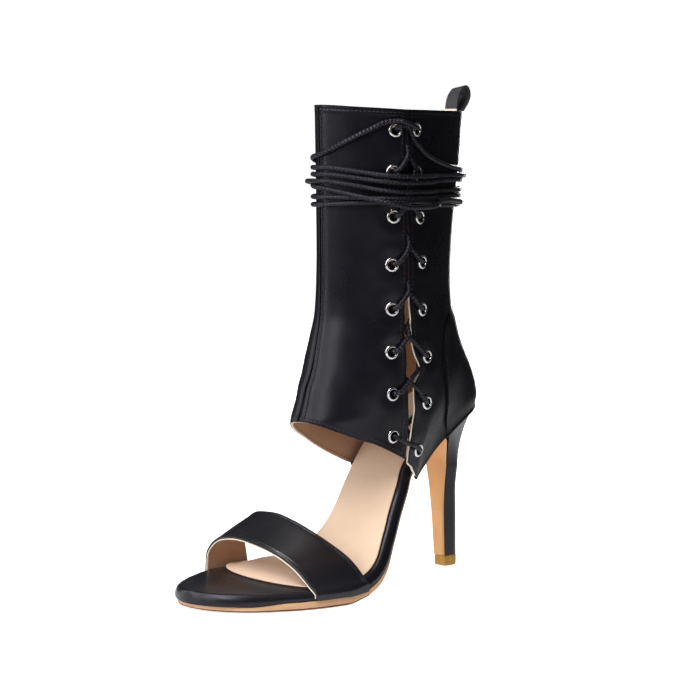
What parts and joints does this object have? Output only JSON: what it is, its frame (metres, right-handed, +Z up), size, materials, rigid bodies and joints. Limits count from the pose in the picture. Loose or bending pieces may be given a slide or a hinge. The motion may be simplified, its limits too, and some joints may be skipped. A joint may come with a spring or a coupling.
{
  "type": "heeled boot",
  "caption": "Open-toe ankle boot on a stiletto heel: shaft laced through eyelets on its outer side, laces wound round it, broad toe strap, pull loop at the back.",
  "frame": {"origin": "on the floor under the ball of the foot, on the outsole's flat underside", "axes": "+Z up; the toe points to -Y and the heel to +Y; +X is the outer (lateral) side with the slit and laces"},
  "size_m": [0.092, 0.2, 0.2729],
  "materials": {
    "black_leather": "smooth satin",
    "beige_sock": "matt",
    "tan_outsole": "matt",
    "tip_rubber": "matt",
    "nickel": "polished",
    "lace_cord": "round braid"
  },
  "bodies": {
    "root": {"outsole": "tan_outsole", "footbed": "black_leather", "insock": "beige_sock", "shaft": "black_leather", "heel_counter": "black_leather", "toe_strap": "black_leather", "heel": "black_leather", "heel_breast": "tan_outsole", "heel_tip": "tip_rubber", "pull_loop": "black_leather", "eyelet_front_1": "nickel", "eyelet_back_1": "nickel", "eyelet_front_2": "nickel", "eyelet_back_2": "nickel", "eyelet_front_3": "nickel", "eyelet_back_3": "nickel", "eyelet_front_4": "nickel", "eyelet_back_4": "nickel", "eyelet_front_5": "nickel", "eyelet_back_5": "nickel", "eyelet_front_6": "nickel", "eyelet_back_6": "nickel", "eyelet_front_7": "nickel", "eyelet_back_7": "nickel", "eyelet_front_8": "nickel", "eyelet_back_8": "nickel", "lace_crossing_1": "lace_cord", "lace_crossing_2": "lace_cord", "lace_crossing_3": "lace_cord", "lace_crossing_4": "lace_cord", "lace_crossing_5": "lace_cord", "lace_crossing_6": "lace_cord", "lace_bar": "lace_cord", "lace_wound_front": "lace_cord", "lace_wound_rear": "lace_cord", "lace_knot": "lace_cord"}
  },
  "joints": []
}
